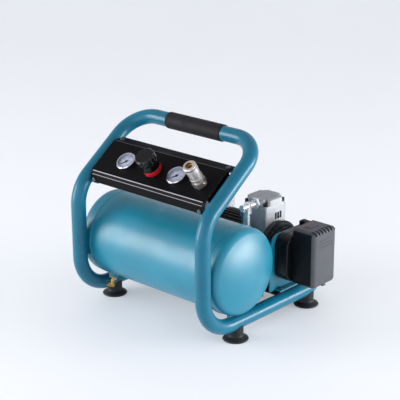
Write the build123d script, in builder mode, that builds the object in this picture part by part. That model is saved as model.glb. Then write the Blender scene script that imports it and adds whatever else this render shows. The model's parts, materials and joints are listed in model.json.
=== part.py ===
from build123d import *
import math
import os

# Portable roll-cage air compressor with a twin-cylinder oil-free pump and a slide-on battery.
# Millimetres. X runs along the tank, Y to the rear, Z up; "right" is +X and "front" is -Y.
# Everything is laid out about the point of the floor midway between the four feet. finish()
# then carries each piece to the shared origin, under the middle of the overall outline.

os.makedirs("parts", exist_ok=True)

# ---------------------------------------------------------------- driving dimensions
tube_r = 14.0
tube_wall = 2.0
half_width = 156.5
front_y = -190.0
rear_y = 160.0
rail_z = 33.0
knee_z = 240.0
slope = 36.0
handle_y = -34.0
knee_bend = 70.0
lower_bend = 70.0
handle_bend = 57.0
rear_bend = 62.0
joint_straight = 10.0

foot_y = 103.3
foot_r = 24.0
foot_stem_r = 14.5

tank_r = 81.0
tank_wall = 2.5
tank_gap = 1.0
seam_x = half_width - 13.5
dome_x = seam_x + 16.0

sheet = 2.0
panel_start = 37.0
panel_length = 74.0
panel_band = 26.0
panel_lip = 21.0
instrument_row = 34.0
gauge_x = {"left": -74.0, "right": 52.0}
gauge_r = 19.0
knob_x = -6.0
coupler_x = half_width - 49.5
manifold_top = -14.0
manifold_size = 20.0

shaft_z = 115.0
pump_x = {"left": -48.0, "right": 79.0}
block_w = 56.0
block_d = 60.0
block_base_z = 63.0
deck_z = 197.0
chamber_r = 27.0
bore_r = 23.0
throw = 4.5
shaft_r = 5.0
motor_r = 50.0
head_chamfer = 13.0
head_flange = 4.0
head_top_z = 212.5
port_dx = 4.0
port_z = 205.0

plate = 2.5
bracket_x = 140.0
bracket_sheet = 3.0
bracket_half_y = 58.5
bracket_top_z = 160.5
holder_depth = 29.0
battery_d = 50.0
battery_w = 67.0
battery_h = 110.0
battery_z = 67.0
battery_y = 71.5

contact_gap = 0.4
running_gap = 0.05

# ---------------------------------------------------------------- derived places
sides = {"left": -1, "right": 1}
along_y = math.cos(math.radians(slope))
along_z = math.sin(math.radians(slope))
handle_z = knee_z + (handle_y - front_y) * along_z / along_y
rail_top = rail_z + tube_r
tank_y = front_y + tube_r + tank_gap + tank_r
tank_z = rail_top + tank_gap + tank_r
shaft_y = tank_y + tank_r + 82.0
base_top = rail_top + plate
crown_r = 2 * tank_r
knuckle_r = 0.2 * tank_r
dome_depth = crown_r - math.sqrt((crown_r - knuckle_r) ** 2 - (tank_r - knuckle_r) ** 2)
bracket_face = bracket_x + bracket_sheet
dock_x = bracket_face + holder_depth
battery_face = dock_x + battery_d
middle_x = (battery_face - dome_x - dome_depth) / 2
middle_y = (front_y + rear_y) / 2
inner_face = {"left": pump_x["left"] + block_w / 2, "right": pump_x["right"] - block_w / 2}
outer_face = {"left": pump_x["left"] - block_w / 2, "right": pump_x["right"] + block_w / 2}


def slope_point(along, rise=0.0):
    """Point (y, z) up the slanted tubes from the knee, and above their centre lines."""
    return front_y + along * along_y - rise * along_z, knee_z + along * along_z + rise * along_y


panel_y, panel_z = slope_point(panel_start, tube_r)
band_y, band_z = slope_point(panel_start + panel_length, tube_r)
panel_plane = Plane(origin=(0, panel_y, panel_z), x_dir=(1, 0, 0), z_dir=(0, -along_z, along_y))
tank_axis = Plane(origin=(0, tank_y, tank_z), x_dir=(0, 1, 0), z_dir=(1, 0, 0))
shaft_axis = Plane(origin=(0, shaft_y, shaft_z), x_dir=(0, 1, 0), z_dir=(1, 0, 0))


def on_panel(x):
    """Plane on the panel's face at one place of the instrument row."""
    origin = panel_plane.from_local_coords((x, instrument_row, 0))
    return Plane(origin=origin, x_dir=panel_plane.x_dir, z_dir=panel_plane.z_dir)


def spun(plane, degrees):
    """Plane turned about its own normal."""
    angle = math.radians(degrees)
    x_dir = plane.x_dir * math.cos(angle) + plane.y_dir * math.sin(angle)
    return Plane(origin=plane.origin, x_dir=x_dir, z_dir=plane.z_dir)


def turn(plane, *outline, mode=Mode.ADD):
    """Revolve an outline of (radius, height) points about the plane's normal."""
    with BuildSketch(Plane(origin=plane.origin, x_dir=plane.x_dir, z_dir=-plane.y_dir)) as section:
        with BuildLine():
            Polyline(*outline, close=True)
        make_face()
    revolve(section.sketch, axis=Axis(plane.origin, plane.z_dir), mode=mode)


def disc(plane, radius, low, high, mode=Mode.ADD):
    """Cylinder about the plane's normal between two heights."""
    with BuildSketch(plane.offset(low)) as section:
        Circle(radius)
    extrude(section.sketch, amount=high - low, mode=mode)


def hexagon(plane, across, low, high, mode=Mode.ADD):
    """Hexagonal prism about the plane's normal, given its width across the flats."""
    with BuildSketch(plane.offset(low)) as section:
        RegularPolygon(across / 2, 6, major_radius=False)
    extrude(section.sketch, amount=high - low, mode=mode)


def block(x_range, y_range, z_range, mode=Mode.ADD):
    """Box between pairs of coordinates."""
    with BuildSketch(Plane.XY.offset(min(z_range))) as section:
        with Locations((sum(x_range) / 2, sum(y_range) / 2)):
            Rectangle(abs(x_range[1] - x_range[0]), abs(y_range[1] - y_range[0]))
    extrude(section.sketch, amount=abs(z_range[1] - z_range[0]), mode=mode)


def run_tube(points, radii, radius, mode=Mode.ADD):
    """Sweep a round section along straight runs joined by tangent bends."""
    with BuildLine() as route:
        FilletPolyline(*points, radius=radii)
    with BuildSketch(Plane(origin=route.line @ 0, z_dir=route.line % 0)) as section:
        Circle(radius)
    sweep(section.sketch, path=route.line, mode=mode)


def finish(builder, label):
    """Carry a finished piece to the shared origin, name it and write its file."""
    piece = builder.part.moved(Location((-middle_x, -middle_y, 0)))
    piece.label = label
    export_step(piece, f"parts/{label}.step")


# ---------------------------------------------------------------- frame tubes
joint_along = (handle_y - front_y) / along_y - handle_bend - joint_straight
joint_y, joint_z = slope_point(joint_along)
rear_joint_y = rear_y - rear_bend - 18.0
screw_r = 2.5
screw_x = half_width - tube_r - 10.5
tab = 3.0
lip_y = panel_y - 2.6
lip_screw_z = panel_z - panel_lip + 4.0
band_screw_y = band_y + 12.0


def side_route(side):
    """Corners of one side tube: slanted top, front upright and floor rail."""
    x = side * half_width
    return (x, joint_y, joint_z), (x, front_y, knee_z), (x, front_y, rail_z), (x, rear_joint_y, rail_z)


side_solid = {}
for name, side in sides.items():
    with BuildPart() as side_tube:
        run_tube(side_route(side), (knee_bend, lower_bend), tube_r)
        side_solid[name] = side_tube.part
        tab_x = (side * (screw_x - 8.0), side * (half_width - 4.0))
        block(tab_x, (lip_y + sheet, lip_y + sheet + tab), (lip_screw_z - 7, lip_screw_z + 7))
        block(tab_x, (band_screw_y - 7, band_screw_y + 7), (band_z - sheet - tab, band_z - sheet))
        run_tube(side_route(side), (knee_bend, lower_bend), tube_r - tube_wall, mode=Mode.SUBTRACT)
        lip_hole = Plane(origin=(side * screw_x, lip_y, lip_screw_z), z_dir=(0, 1, 0))
        disc(lip_hole, screw_r + running_gap, 0, sheet + tab + 1, mode=Mode.SUBTRACT)
        band_hole = Plane(origin=(side * screw_x, band_screw_y, band_z), z_dir=(0, 0, -1))
        disc(band_hole, screw_r + running_gap, 0, sheet + tab + 1, mode=Mode.SUBTRACT)
    finish(side_tube, f"side_tube_{name}")

handle_route = (
    (-half_width, joint_y, joint_z),
    (-half_width, handle_y, handle_z),
    (half_width, handle_y, handle_z),
    (half_width, joint_y, joint_z),
)
with BuildPart() as handle_tube:
    run_tube(handle_route, (handle_bend, handle_bend), tube_r)
    run_tube(handle_route, (handle_bend, handle_bend), tube_r - tube_wall, mode=Mode.SUBTRACT)
finish(handle_tube, "handle_tube")

rear_route = (
    (-half_width, rear_joint_y, rail_z),
    (-half_width, rear_y, rail_z),
    (half_width, rear_y, rail_z),
    (half_width, rear_joint_y, rail_z),
)
with BuildPart() as rear_tube:
    run_tube(rear_route, (rear_bend, rear_bend), tube_r)
    rear_solid = rear_tube.part
    run_tube(rear_route, (rear_bend, rear_bend), tube_r - tube_wall, mode=Mode.SUBTRACT)
finish(rear_tube, "rear_tube")

grip_length = 134.0
grip_wall = 1.8
handle_axis = Plane(origin=(0, handle_y, handle_z), x_dir=(0, 1, 0), z_dir=(1, 0, 0))
with BuildPart() as handle_grip:
    disc(handle_axis, tube_r + grip_wall, -grip_length / 2, grip_length / 2)
    fillet(handle_grip.edges().filter_by(GeomType.CIRCLE), 1.2)
    disc(handle_axis, tube_r + running_gap, -grip_length, grip_length, mode=Mode.SUBTRACT)
finish(handle_grip, "handle_grip")

# ---------------------------------------------------------------- feet
foot_top = rail_z - 4.0
for end, y in (("front", -foot_y), ("rear", foot_y)):
    for name, side in sides.items():
        with BuildPart() as foot:
            turn(
                Plane(origin=(side * half_width, y, 0)),
                (0, 2.0),
                (foot_r - 6.0, 2.0),
                (foot_r - 4.0, 0),
                (foot_r - 1.0, 0),
                (foot_r, 1.5),
                (foot_r - 1.2, 3.5),
                (foot_stem_r + 4.0, 6.0),
                (foot_stem_r + 1.0, 8.5),
                (foot_stem_r, 11.0),
                (foot_stem_r, foot_top),
                (0, foot_top),
            )
            add(side_solid[name] if end == "front" else rear_solid, mode=Mode.SUBTRACT)
        finish(foot, f"foot_{end}_{name}")

# ---------------------------------------------------------------- tank
crown_turn = math.degrees(math.asin((tank_r - knuckle_r) / (crown_r - knuckle_r)))
tank_section = Plane(origin=tank_axis.origin, x_dir=(0, 1, 0), z_dir=(0, 0, -1))


def dished_head(side, wall, mode=Mode.ADD):
    """Dished head from the seam outwards, filled in; its wall is left off the outline."""
    r = tank_r - wall
    peak = dome_x + dome_depth - wall
    with BuildSketch(tank_section) as section:
        with BuildLine():
            Polyline((0, side * peak), (0, side * seam_x), (r, side * seam_x), (r, side * dome_x))
            knuckle_centre = (tank_r - knuckle_r, side * dome_x)
            CenterArc(knuckle_centre, knuckle_r - wall, 0, side * (90 - crown_turn))
            crown_centre = (0, side * (dome_x + dome_depth - crown_r))
            CenterArc(crown_centre, crown_r - wall, side * 90, -side * crown_turn)
        make_face()
    revolve(section.sketch, axis=Axis(tank_axis.origin, (1, 0, 0)), mode=mode)


bead_width = 5.0
bead_rise = 1.0
for name, side in sides.items():
    with BuildPart() as tank_head:
        dished_head(side, 0.0)
        turn(
            tank_axis,
            (tank_r - 0.5, side * seam_x),
            (tank_r + bead_rise, side * (seam_x + 0.8)),
            (tank_r + bead_rise, side * (seam_x + bead_width - 1.6)),
            (tank_r - 0.5, side * (seam_x + bead_width)),
        )
        dished_head(side, tank_wall, mode=Mode.SUBTRACT)
    finish(tank_head, f"tank_head_{name}")

drain_x = 11.0 - seam_x
drain_lean = math.radians(24)
drain_dir = (0, -math.sin(drain_lean), -math.cos(drain_lean))
drain_plane = Plane(origin=(drain_x, tank_y, tank_z), x_dir=(1, 0, 0), z_dir=drain_dir)
drain_boss_end = tank_r + 7.0
drain_thread_r = 5.0
supply_x = -58.0
supply_r = 5.0
supply_boss_end = tank_r + 7.0
supply_dir = (0, math.sqrt(0.5), math.sqrt(0.5))
supply_boss = Plane(origin=(supply_x, tank_y, tank_z), x_dir=(1, 0, 0), z_dir=supply_dir)
valve_thread_r = 6.0
valve_boss_end = tank_r + 6.0
valve_boss = {}
for name in sides:
    valve_origin = (pump_x[name] + port_dx, tank_y, tank_z)
    valve_boss[name] = Plane(origin=valve_origin, x_dir=(1, 0, 0), z_dir=(0, 1, 0))
pilot_r = 3.0
pilot_z = tank_z + 40.0
pilot_x = pump_x["right"] + port_dx
pilot_boss = Plane(origin=(pilot_x, tank_y, pilot_z), x_dir=(1, 0, 0), z_dir=(0, 1, 0))
pilot_boss_end = math.sqrt(tank_r**2 - (pilot_z - tank_z) ** 2) + 6.0

tank_bosses = [
    (drain_plane, 8.5, drain_thread_r, drain_boss_end, 12.0),
    (supply_boss, 10.0, supply_r + running_gap, supply_boss_end, 10.0),
    (pilot_boss, 6.5, pilot_r + running_gap, pilot_boss_end, 13.0),
]
tank_bosses += [(plane, 12.0, valve_thread_r, valve_boss_end, 9.0) for plane in valve_boss.values()]
with BuildPart() as tank_shell:
    disc(tank_axis, tank_r, -seam_x, seam_x)
    for plane, boss_r, hole_r, boss_end, depth in tank_bosses:
        disc(plane, boss_r, boss_end - depth - 4, boss_end)
    disc(tank_axis, tank_r - tank_wall, -seam_x, seam_x, mode=Mode.SUBTRACT)
    for plane, boss_r, hole_r, boss_end, depth in tank_bosses:
        disc(plane, hole_r, boss_end - depth - 12, boss_end, mode=Mode.SUBTRACT)
finish(tank_shell, "tank_shell")

pad_x = (seam_x + 6.0, seam_x + 14.0)
pad_reach = 24.0
with BuildPart() as tank_saddles:
    for name, side in sides.items():
        x_range = (side * pad_x[0], side * pad_x[1])
        block(x_range, (tank_y - pad_reach, tank_y + pad_reach), (rail_top - 4, rail_top + 8))
        block(x_range, (front_y + tube_r - 4, front_y + tube_r + 8), (tank_z - pad_reach, tank_z + pad_reach))
        dished_head(side, 0.0, mode=Mode.SUBTRACT)
        add(side_solid[name], mode=Mode.SUBTRACT)
finish(tank_saddles, "tank_saddles")

# ---------------------------------------------------------------- control panel
panel_half = half_width - tube_r - 1.0
case_r = gauge_r - 2.0
neck_r = 12.0
stem_r = 8.0
panel_cutouts = [(x, case_r) for x in gauge_x.values()] + [(knob_x, neck_r), (coupler_x, stem_r)]
panel_profile = (
    (lip_y, panel_z - panel_lip),
    (lip_y, panel_z - 7.0),
    (lip_y + 1.2, panel_z - 6.0),
    (panel_y, panel_z),
    (band_y, band_z),
    (band_y + panel_band, band_z),
)
end_wall_run = (panel_start + 8.0, panel_start + panel_length - 8.0)
end_wall_rise = (tube_r - sheet / 2, tube_r - 22.0)
end_wall_corners = [
    slope_point(along, rise)
    for along, rise in zip(end_wall_run + end_wall_run[::-1], (end_wall_rise[0],) * 2 + (end_wall_rise[1],) * 2)
]
with BuildPart() as control_panel:
    with BuildSketch(Plane.YZ.offset(-panel_half)):
        with BuildLine():
            Polyline(*panel_profile)
            offset(amount=sheet, side=Side.RIGHT)
        make_face()
    extrude(amount=2 * panel_half)
    for side in sides.values():
        with BuildSketch(Plane.YZ.offset(side * (panel_half - sheet / 2))):
            with BuildLine():
                Polyline(*end_wall_corners, close=True)
            make_face()
        extrude(amount=sheet / 2, both=True)
    for x, radius in panel_cutouts:
        disc(on_panel(x), radius + running_gap, -3 * sheet, sheet, mode=Mode.SUBTRACT)
    for side in sides.values():
        lip_hole = Plane(origin=(side * screw_x, lip_y, lip_screw_z), z_dir=(0, 1, 0))
        disc(lip_hole, screw_r + running_gap, -1, sheet + 1, mode=Mode.SUBTRACT)
        band_hole = Plane(origin=(side * screw_x, band_screw_y, band_z), z_dir=(0, 0, -1))
        disc(band_hole, screw_r + running_gap, -1, sheet + 1, mode=Mode.SUBTRACT)
finish(control_panel, "control_panel")

bracket_foot = 14.0
bracket_foot_half_y = 45.0
foot_screw_x = bracket_x + bracket_sheet + 6.0
foot_screws = [
    Plane(origin=(foot_screw_x, shaft_y + dy, base_top + bracket_sheet)) for dy in (-34.0, 34.0)
]
panel_screw_planes = []
for side in sides.values():
    panel_screw_planes.append(Plane(origin=(side * screw_x, lip_y, lip_screw_z), z_dir=(0, -1, 0)))
    panel_screw_planes.append(Plane(origin=(side * screw_x, band_screw_y, band_z)))


def button_screw(plane, radius, depth):
    """Button-head screw with its head on the plane and a hexagon socket."""
    head = 1.8 * radius
    outline = [(0, -depth), (radius, -depth), (radius, 0), (head, 0), (head, 0.5 * radius)]
    outline += [(0.75 * head, 1.1 * radius), (0, 1.1 * radius)]
    turn(plane, *outline)
    hexagon(plane, radius, 0.3 * radius, 1.2 * radius, mode=Mode.SUBTRACT)


with BuildPart() as machine_screws:
    for plane in panel_screw_planes:
        button_screw(plane, screw_r, sheet + tab)
    for plane in foot_screws:
        button_screw(plane, screw_r, bracket_sheet + plate)
finish(machine_screws, "machine_screws")

# ---------------------------------------------------------------- air manifold under the panel
manifold_x = (gauge_x["left"] - 12.0, coupler_x + 12.0)
manifold_mid = manifold_top - manifold_size / 2
port_depth = 6.0
gauge_stem_r = 5.0
coupler_stem_r = 6.5
gallery_r = 4.0
supply_port = panel_plane.from_local_coords((supply_x, instrument_row, manifold_top - manifold_size))
supply_bend = 16.0
supply_route = (
    supply_port + panel_plane.z_dir * port_depth,
    supply_port - panel_plane.z_dir * 1.75 * supply_bend,
    supply_boss.offset(supply_boss_end + 2.3 * supply_bend).origin,
    supply_boss.offset(supply_boss_end - 9.0).origin,
)
manifold_row = Plane(
    origin=panel_plane.from_local_coords((manifold_x[0], instrument_row, manifold_mid)),
    x_dir=(0, along_y, along_z),
    z_dir=(1, 0, 0),
)
with BuildPart() as manifold:
    with BuildSketch(manifold_row):
        Rectangle(manifold_size, manifold_size)
    extrude(amount=manifold_x[1] - manifold_x[0])
    for x, radius in [(x, gauge_stem_r) for x in gauge_x.values()] + [(coupler_x, coupler_stem_r)]:
        disc(on_panel(x), radius + running_gap, manifold_mid, manifold_top, mode=Mode.SUBTRACT)
    supply_mouth = on_panel(supply_x).offset(manifold_top - manifold_size)
    disc(supply_mouth, supply_r + running_gap, 0, manifold_size / 2, mode=Mode.SUBTRACT)
    disc(manifold_row, gallery_r + running_gap, 0, knob_x - 4 - manifold_x[0], mode=Mode.SUBTRACT)
    disc(manifold_row, gallery_r, knob_x + 4 - manifold_x[0], coupler_x - manifold_x[0], mode=Mode.SUBTRACT)
finish(manifold, "manifold")

with BuildPart() as supply_pipe:
    run_tube(supply_route, supply_bend, supply_r)
    run_tube(supply_route, supply_bend, supply_r - 1.2, mode=Mode.SUBTRACT)
finish(supply_pipe, "supply_pipe")

relief_plane = Plane(origin=manifold_row.origin, x_dir=manifold_row.x_dir, z_dir=(-1, 0, 0))
pull_r = 1.5
with BuildPart() as relief_valve:
    disc(relief_plane, gallery_r, -8.0, 0)
    hexagon(relief_plane, 14.0, 0, 9.0)
    disc(relief_plane, 5.5, 9.0, 20.0)
    disc(relief_plane, 2.0, -8.0, 6.0, mode=Mode.SUBTRACT)
    disc(relief_plane, pull_r + running_gap, 8.0, 20.0, mode=Mode.SUBTRACT)
finish(relief_valve, "relief_valve")

ring_r = 7.0
ring_wire = 1.2
with BuildPart() as relief_ring:
    disc(relief_plane, pull_r, 9.0, 22.0)
    with BuildSketch(relief_plane.offset(22.0 + ring_r)) as ring_section:
        with Locations((ring_r, 0)):
            Circle(ring_wire)
    revolve(axis=Axis(ring_section.workplanes[0].origin, relief_plane.y_dir))
finish(relief_ring, "relief_ring")

# ---------------------------------------------------------------- gauges
gauge_face = 3.0
dial_sheet = 0.8
bezel_top = 8.0
window_r = 16.4
arbor_r = 1.0
needle_rest = 225.0
for name, x in gauge_x.items():
    gauge = on_panel(x)
    with BuildPart() as gauge_case:
        turn(
            gauge,
            (0, manifold_top - port_depth),
            (gauge_stem_r, manifold_top - port_depth),
            (gauge_stem_r, -10.0),
            (case_r, -10.0),
            (case_r, 0),
            (gauge_r, 0),
            (gauge_r, bezel_top - 1.2),
            (gauge_r - 1.2, bezel_top),
            (window_r - 0.9, bezel_top),
            (window_r - 0.9, bezel_top - 0.6),
            (window_r, bezel_top - 0.6),
            (window_r, gauge_face),
            (window_r - 1.4, gauge_face),
            (window_r - 1.4, -8.5),
            (0, -8.5),
        )
        disc(gauge, 1.5, manifold_top - port_depth, -8.0, mode=Mode.SUBTRACT)
    finish(gauge_case, f"gauge_{name}_case")
    with BuildPart() as gauge_dial:
        disc(gauge, window_r, gauge_face, gauge_face + dial_sheet)
        disc(gauge, arbor_r + running_gap, 0, gauge_face + dial_sheet, mode=Mode.SUBTRACT)
    finish(gauge_dial, f"gauge_{name}_dial")
    with BuildPart() as gauge_lens:
        disc(gauge, window_r, bezel_top - 1.8, bezel_top - 0.6)
    finish(gauge_lens, f"gauge_{name}_lens")
    needle_low = gauge_face + dial_sheet + contact_gap
    needle = gauge.offset(needle_low)
    with BuildPart() as gauge_pointer:
        disc(gauge, arbor_r, 1.0, needle_low + 0.6)
        disc(needle, 2.2, 0, 1.0)
        with BuildSketch(spun(needle, needle_rest)):
            with BuildLine():
                Polyline((-4.5, -1.0), (12.5, -0.35), (12.5, 0.35), (-4.5, 1.0), close=True)
            make_face()
        extrude(amount=0.6)
    finish(gauge_pointer, f"gauge_{name}_pointer")

# ---------------------------------------------------------------- pressure regulator
regulator = on_panel(knob_x)
bonnet_r = 11.0
bonnet_top = 28.0
collar_r = 17.2
collar_neck_r = 15.4
collar_low = 3.0
collar_shoulder = 8.6
collar_top = 13.8
knob_low = 12.0
knob_travel = 3.0
with BuildPart() as regulator_body:
    turn(
        regulator,
        (0, manifold_top),
        (neck_r + 2.0, manifold_top),
        (neck_r + 2.0, -sheet),
        (neck_r, -sheet),
        (neck_r, 0),
        (bonnet_r, 0),
        (bonnet_r, bonnet_top),
        (0, bonnet_top),
    )
    hexagon(regulator, 29.0, 0, 2.6)
finish(regulator_body, "regulator_body")

with BuildPart() as regulator_lock_ring:
    turn(
        regulator,
        (bonnet_r + running_gap, collar_low),
        (collar_r, collar_low),
        (collar_r, collar_shoulder),
        (collar_neck_r, collar_shoulder),
        (collar_neck_r, collar_top),
        (bonnet_r + running_gap, collar_top),
    )
finish(regulator_lock_ring, "regulator_lock_ring")

knob_r = 18.8
knob_top = 42.0
skirt_r = collar_neck_r + contact_gap
with BuildPart() as regulator_knob:
    turn(
        regulator,
        (skirt_r, knob_low),
        (collar_r, knob_low),
        (collar_r - 0.7, 25.0),
        (knob_r, 30.0),
        (knob_r, knob_top - 2.0),
        (knob_r - 2.0, knob_top),
        (0, knob_top),
        (0, bonnet_top + knob_travel + contact_gap),
        (bonnet_r + contact_gap, bonnet_top + knob_travel + contact_gap),
        (bonnet_r + contact_gap, collar_top + knob_travel + contact_gap),
        (skirt_r, collar_top + knob_travel + contact_gap),
    )
    with BuildSketch(regulator.offset(24.0)):
        with PolarLocations(knob_r + 2.6, 8, start_angle=22.5):
            Circle(4.4)
    extrude(amount=knob_top, mode=Mode.SUBTRACT)
finish(regulator_knob, "regulator_knob")

# ---------------------------------------------------------------- quick coupler
coupler = on_panel(coupler_x)
coupler_h = 50.0
coupler_bore = 5.6
mouth_r = 7.6
mouth_depth = 5.0
barrel_r = 9.5
sleeve_r = 12.2
sleeve_low = 15.5
sleeve_high = 44.5
sleeve_travel = 5.0
with BuildPart() as coupler_body:
    turn(
        coupler,
        (0, manifold_top - port_depth),
        (coupler_stem_r, manifold_top - port_depth),
        (coupler_stem_r, manifold_top),
        (stem_r + 2.5, manifold_top),
        (stem_r + 2.5, -sheet),
        (stem_r, -sheet),
        (stem_r, 0),
        (barrel_r, 0),
        (barrel_r, 46.0),
        (sleeve_r, 46.6),
        (sleeve_r, coupler_h - 1.2),
        (sleeve_r - 1.2, coupler_h),
        (0, coupler_h),
    )
    hexagon(coupler, 23.0, 0, sleeve_low - sleeve_travel)
    lug = Plane(origin=coupler.offset(7.0).origin, z_dir=(1, 0, 0))
    disc(lug, 3.2, 0, 16.0)
    turn(
        coupler,
        (0, manifold_top - port_depth - 1),
        (3.5, manifold_top - port_depth - 1),
        (3.5, 20.0),
        (coupler_bore, 22.0),
        (coupler_bore, coupler_h - mouth_depth),
        (mouth_r, coupler_h - mouth_depth),
        (mouth_r, coupler_h),
        (0, coupler_h),
        mode=Mode.SUBTRACT,
    )
finish(coupler_body, "coupler_body")

with BuildPart() as coupler_sleeve:
    turn(
        coupler,
        (barrel_r + running_gap, sleeve_low),
        (sleeve_r, sleeve_low),
        (sleeve_r, sleeve_low + 5.0),
        (sleeve_r - 0.7, sleeve_low + 6.0),
        (sleeve_r - 0.7, sleeve_high - 6.0),
        (sleeve_r, sleeve_high - 5.0),
        (sleeve_r, sleeve_high),
        (barrel_r + running_gap, sleeve_high),
    )
finish(coupler_sleeve, "coupler_sleeve")

# ---------------------------------------------------------------- drain cock
drain_bore = 2.0
drain_stem_r = 1.8
nut_h = 4.0
stem_start = drain_boss_end + nut_h
stem_end = drain_boss_end + 11.0
with BuildPart() as drain_valve:
    disc(drain_plane, drain_thread_r - running_gap, drain_boss_end - 10, drain_boss_end)
    hexagon(drain_plane, 13.0, drain_boss_end, stem_start)
    disc(drain_plane, 4.5, stem_start, stem_end - 3)
    disc(drain_plane, drain_bore, drain_boss_end - 10, stem_start - 1, mode=Mode.SUBTRACT)
    disc(drain_plane, drain_stem_r + running_gap, stem_start - 1, stem_end, mode=Mode.SUBTRACT)
    outlet = Plane(origin=drain_plane.offset(drain_boss_end + nut_h / 2).origin, z_dir=(-1, 0, 0))
    disc(outlet, 1.2, 0, 10.0, mode=Mode.SUBTRACT)
finish(drain_valve, "drain_valve")

wing_plane = Plane(origin=drain_plane.offset(stem_end).origin, x_dir=drain_dir, z_dir=(1, 0, 0))
with BuildPart() as drain_wing:
    disc(drain_plane, drain_stem_r, stem_start, stem_end + 2)
    disc(drain_plane, 3.0, stem_end - 2.5, stem_end + 3)
    with BuildSketch(wing_plane.offset(-1.2)):
        with Locations((5.0, 0)):
            RectangleRounded(7.0, 18.0, 3.0)
    extrude(amount=2.4)
finish(drain_wing, "drain_wing")

# ---------------------------------------------------------------- base plate and mounts
base_half_x = 157.0
base_y = (12.0, 126.0)
flange_drop = 12.0
mount_r = 9.0
mount_dy = 18.0
mount_stud_r = 3.0
mount_places = [(x, shaft_y + dy) for x in pump_x.values() for dy in (-mount_dy, mount_dy)]
with BuildPart() as base_plate:
    block((-base_half_x, base_half_x), base_y, (rail_top, base_top))
    for y in (base_y[0], base_y[1] - plate):
        block((-base_half_x + 34, base_half_x - 34), (y, y + plate), (rail_top - flange_drop, rail_top))
    with BuildSketch(Plane.XY.offset(rail_top)):
        with Locations(*mount_places):
            Circle(mount_stud_r + running_gap)
        with Locations(*[(plane.origin.X, plane.origin.Y) for plane in foot_screws]):
            Circle(screw_r + running_gap)
    extrude(amount=plate, mode=Mode.SUBTRACT)
finish(base_plate, "base_plate")

with BuildPart() as base_isolators:
    for x, y in mount_places:
        turn(
            Plane(origin=(x, y, base_top)),
            (0, -plate),
            (mount_stud_r, -plate),
            (mount_stud_r, 0),
            (mount_r, 0),
            (mount_r - 1.5, 3.0),
            (mount_r - 1.5, block_base_z - base_top - 3.0),
            (mount_r, block_base_z - base_top),
            (0, block_base_z - base_top),
        )
finish(base_isolators, "base_isolators")

# ---------------------------------------------------------------- motor
motor_wall = 3.5
fin_h = 3.5
fin_w = 2.5
fin_count = 40
end_wall = 4.0
motor_x = (inner_face["left"], inner_face["right"])
rotor_r = 30.0
core_x = (motor_x[0] + end_wall + 12.0, motor_x[1] - end_wall - 12.0)
with BuildPart() as motor_housing:
    disc(shaft_axis, motor_r - fin_h, motor_x[0], motor_x[1])
    with BuildSketch(shaft_axis.offset(motor_x[0] + end_wall)):
        with PolarLocations(motor_r - fin_h / 2 - 0.5, fin_count):
            Rectangle(fin_h + 1.0, fin_w)
    extrude(amount=motor_x[1] - motor_x[0] - 2 * end_wall)
    inside_r = motor_r - fin_h - motor_wall
    disc(shaft_axis, inside_r, motor_x[0] + end_wall, motor_x[1] - end_wall, mode=Mode.SUBTRACT)
    disc(shaft_axis, shaft_r + running_gap, motor_x[0], motor_x[1], mode=Mode.SUBTRACT)
finish(motor_housing, "motor_housing")

with BuildPart() as motor_stator:
    disc(shaft_axis, motor_r - fin_h - motor_wall - running_gap, core_x[0], core_x[1])
    disc(shaft_axis, rotor_r + 0.5, core_x[0], core_x[1], mode=Mode.SUBTRACT)
    with BuildSketch(shaft_axis.offset(core_x[0])):
        with PolarLocations(rotor_r + 4.0, 12):
            Rectangle(6.0, 5.0)
    extrude(amount=core_x[1] - core_x[0], mode=Mode.SUBTRACT)
finish(motor_stator, "motor_stator")

eccentric_r = 9.9
eccentric_w = 10.0
fan_x = (outer_face["right"] + 5.0, outer_face["right"] + 16.0)
with BuildPart() as rotor_shaft:
    disc(shaft_axis, shaft_r, outer_face["left"] - 4.0, fan_x[1] + 1.0)
    disc(shaft_axis, rotor_r, core_x[0], core_x[1])
    for name, side in sides.items():
        centre = (0, shaft_y + side * throw, shaft_z)
        eccentric = Plane(origin=centre, x_dir=(0, 1, 0), z_dir=(1, 0, 0))
        x = pump_x[name]
        disc(eccentric, eccentric_r, x - eccentric_w / 2, x + eccentric_w / 2)
finish(rotor_shaft, "rotor_shaft")

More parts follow.
